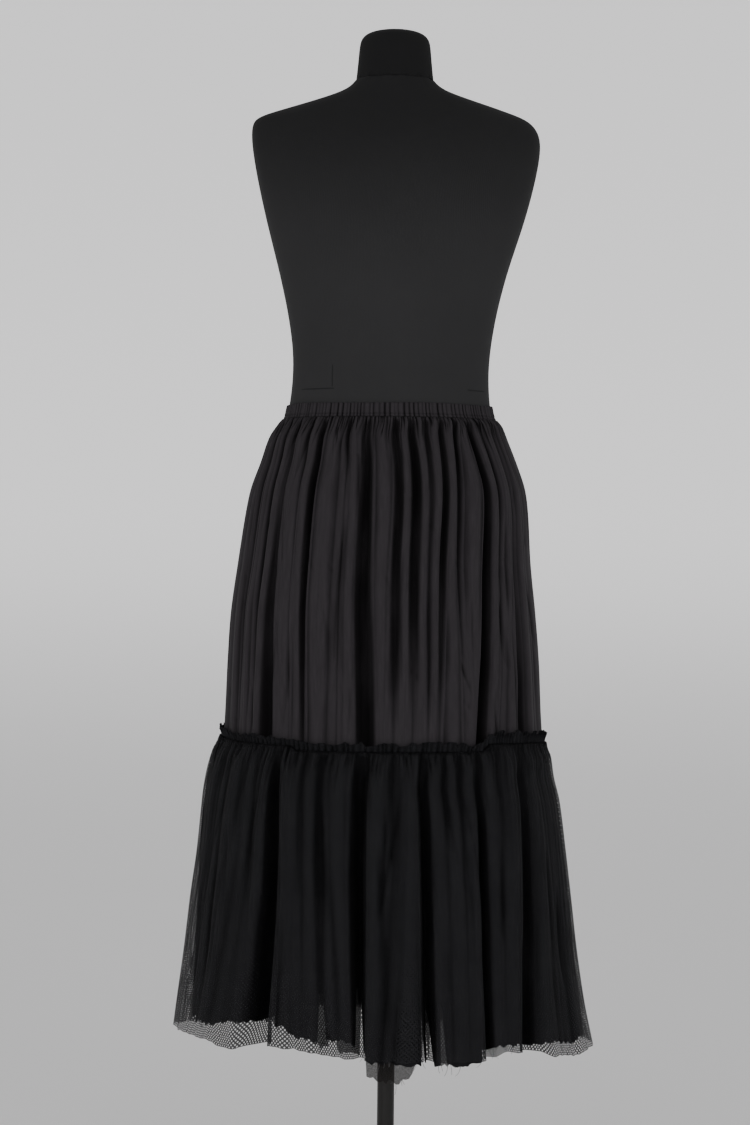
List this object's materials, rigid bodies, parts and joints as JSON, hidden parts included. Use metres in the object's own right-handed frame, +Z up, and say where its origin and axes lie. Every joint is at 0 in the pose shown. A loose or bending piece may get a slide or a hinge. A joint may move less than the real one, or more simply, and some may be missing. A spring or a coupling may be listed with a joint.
{
  "type": "gathered skirt on dress form",
  "caption": "Ankle-length gathered skirt in two tiers with an elastic waist, ruffled seam and net overskirt, on a limbless dress form with a pole and round base.",
  "frame": {"origin": "centre of the base plate's underside, on the pole's axis, at floor level", "axes": "+Z up along the pole, -Y towards the pictured front of the skirt, +X to the viewer's right"},
  "size_m": [0.5681, 0.4997, 1.568],
  "materials": {
    "form_jersey": "matte stretched jersey",
    "cotton": "soft cotton and silk voile with a faint sheen",
    "silk": "dense grainy organza",
    "net": "fine see-through tulle",
    "sheer": "thin sheer cloth with a raw edge",
    "pole_metal": "dark warm grey, satin"
  },
  "bodies": {
    "root": {"waistband": "cotton", "upper_tier_front": "cotton", "upper_tier_back": "cotton", "ruffled_heading_front": "silk", "ruffled_heading_back": "silk", "lower_tier_front": "silk", "lower_tier_back": "silk", "net_overskirt_front": "net", "net_overskirt_back": "net", "sheer_underskirt_front": "sheer", "sheer_underskirt_back": "sheer", "dress_form": "form_jersey", "neck_block": "form_jersey", "pole": "pole_metal", "pole_collar": "pole_metal", "pole_boss": "pole_metal", "base_plate": "pole_metal"}
  },
  "joints": []
}
